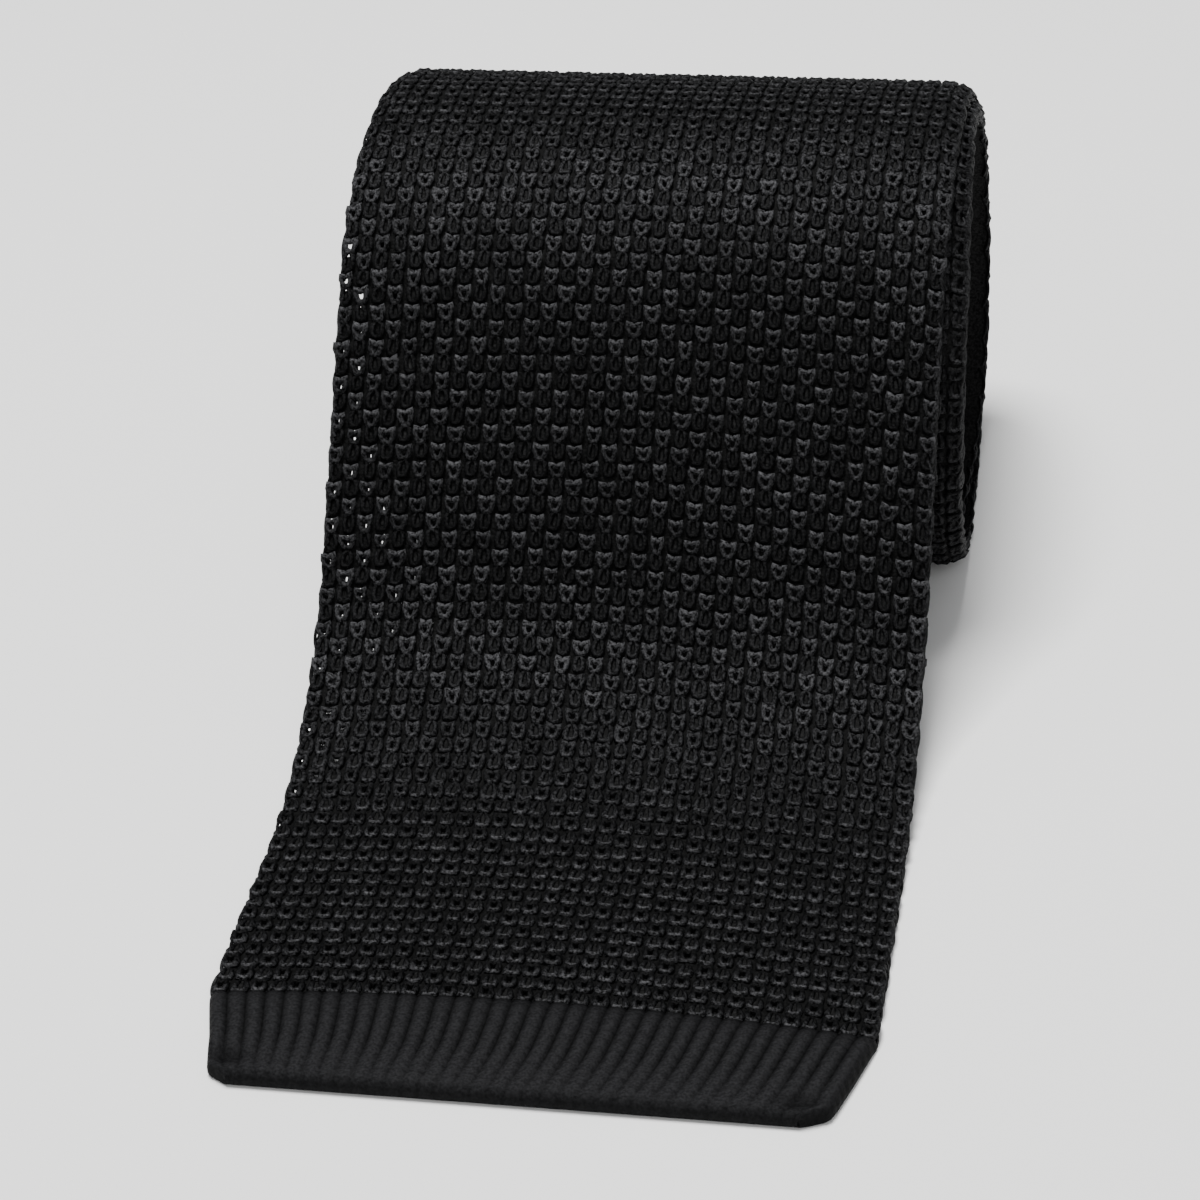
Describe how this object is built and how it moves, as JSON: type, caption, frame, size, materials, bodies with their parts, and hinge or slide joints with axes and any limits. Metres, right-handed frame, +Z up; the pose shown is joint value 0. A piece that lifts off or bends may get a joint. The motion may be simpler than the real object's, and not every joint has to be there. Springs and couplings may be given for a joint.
{
  "type": "rolled knit tie",
  "caption": "Black square-ended knit tie, rolled up from its narrow end, with the wide blade running down off the roll to the surface.",
  "frame": {"origin": "on the surface that the tie lies on, under the middle of its whole length, width and height box", "axes": "+Z up, -Y towards the front hem, +X across the tie to the right as seen from the front"},
  "size_m": [0.0674, 0.1314, 0.0524],
  "materials": {
    "loop_knit": "black silk yarn in raised loops, soft sheen",
    "ribbed_knit": "black silk yarn in fine plain ribs, matt"
  },
  "bodies": {
    "root": {"front_hem": "ribbed_knit", "front_blade": "loop_knit", "neck_band": "loop_knit", "tail_blade": "loop_knit", "tail_hem": "ribbed_knit"}
  },
  "joints": []
}
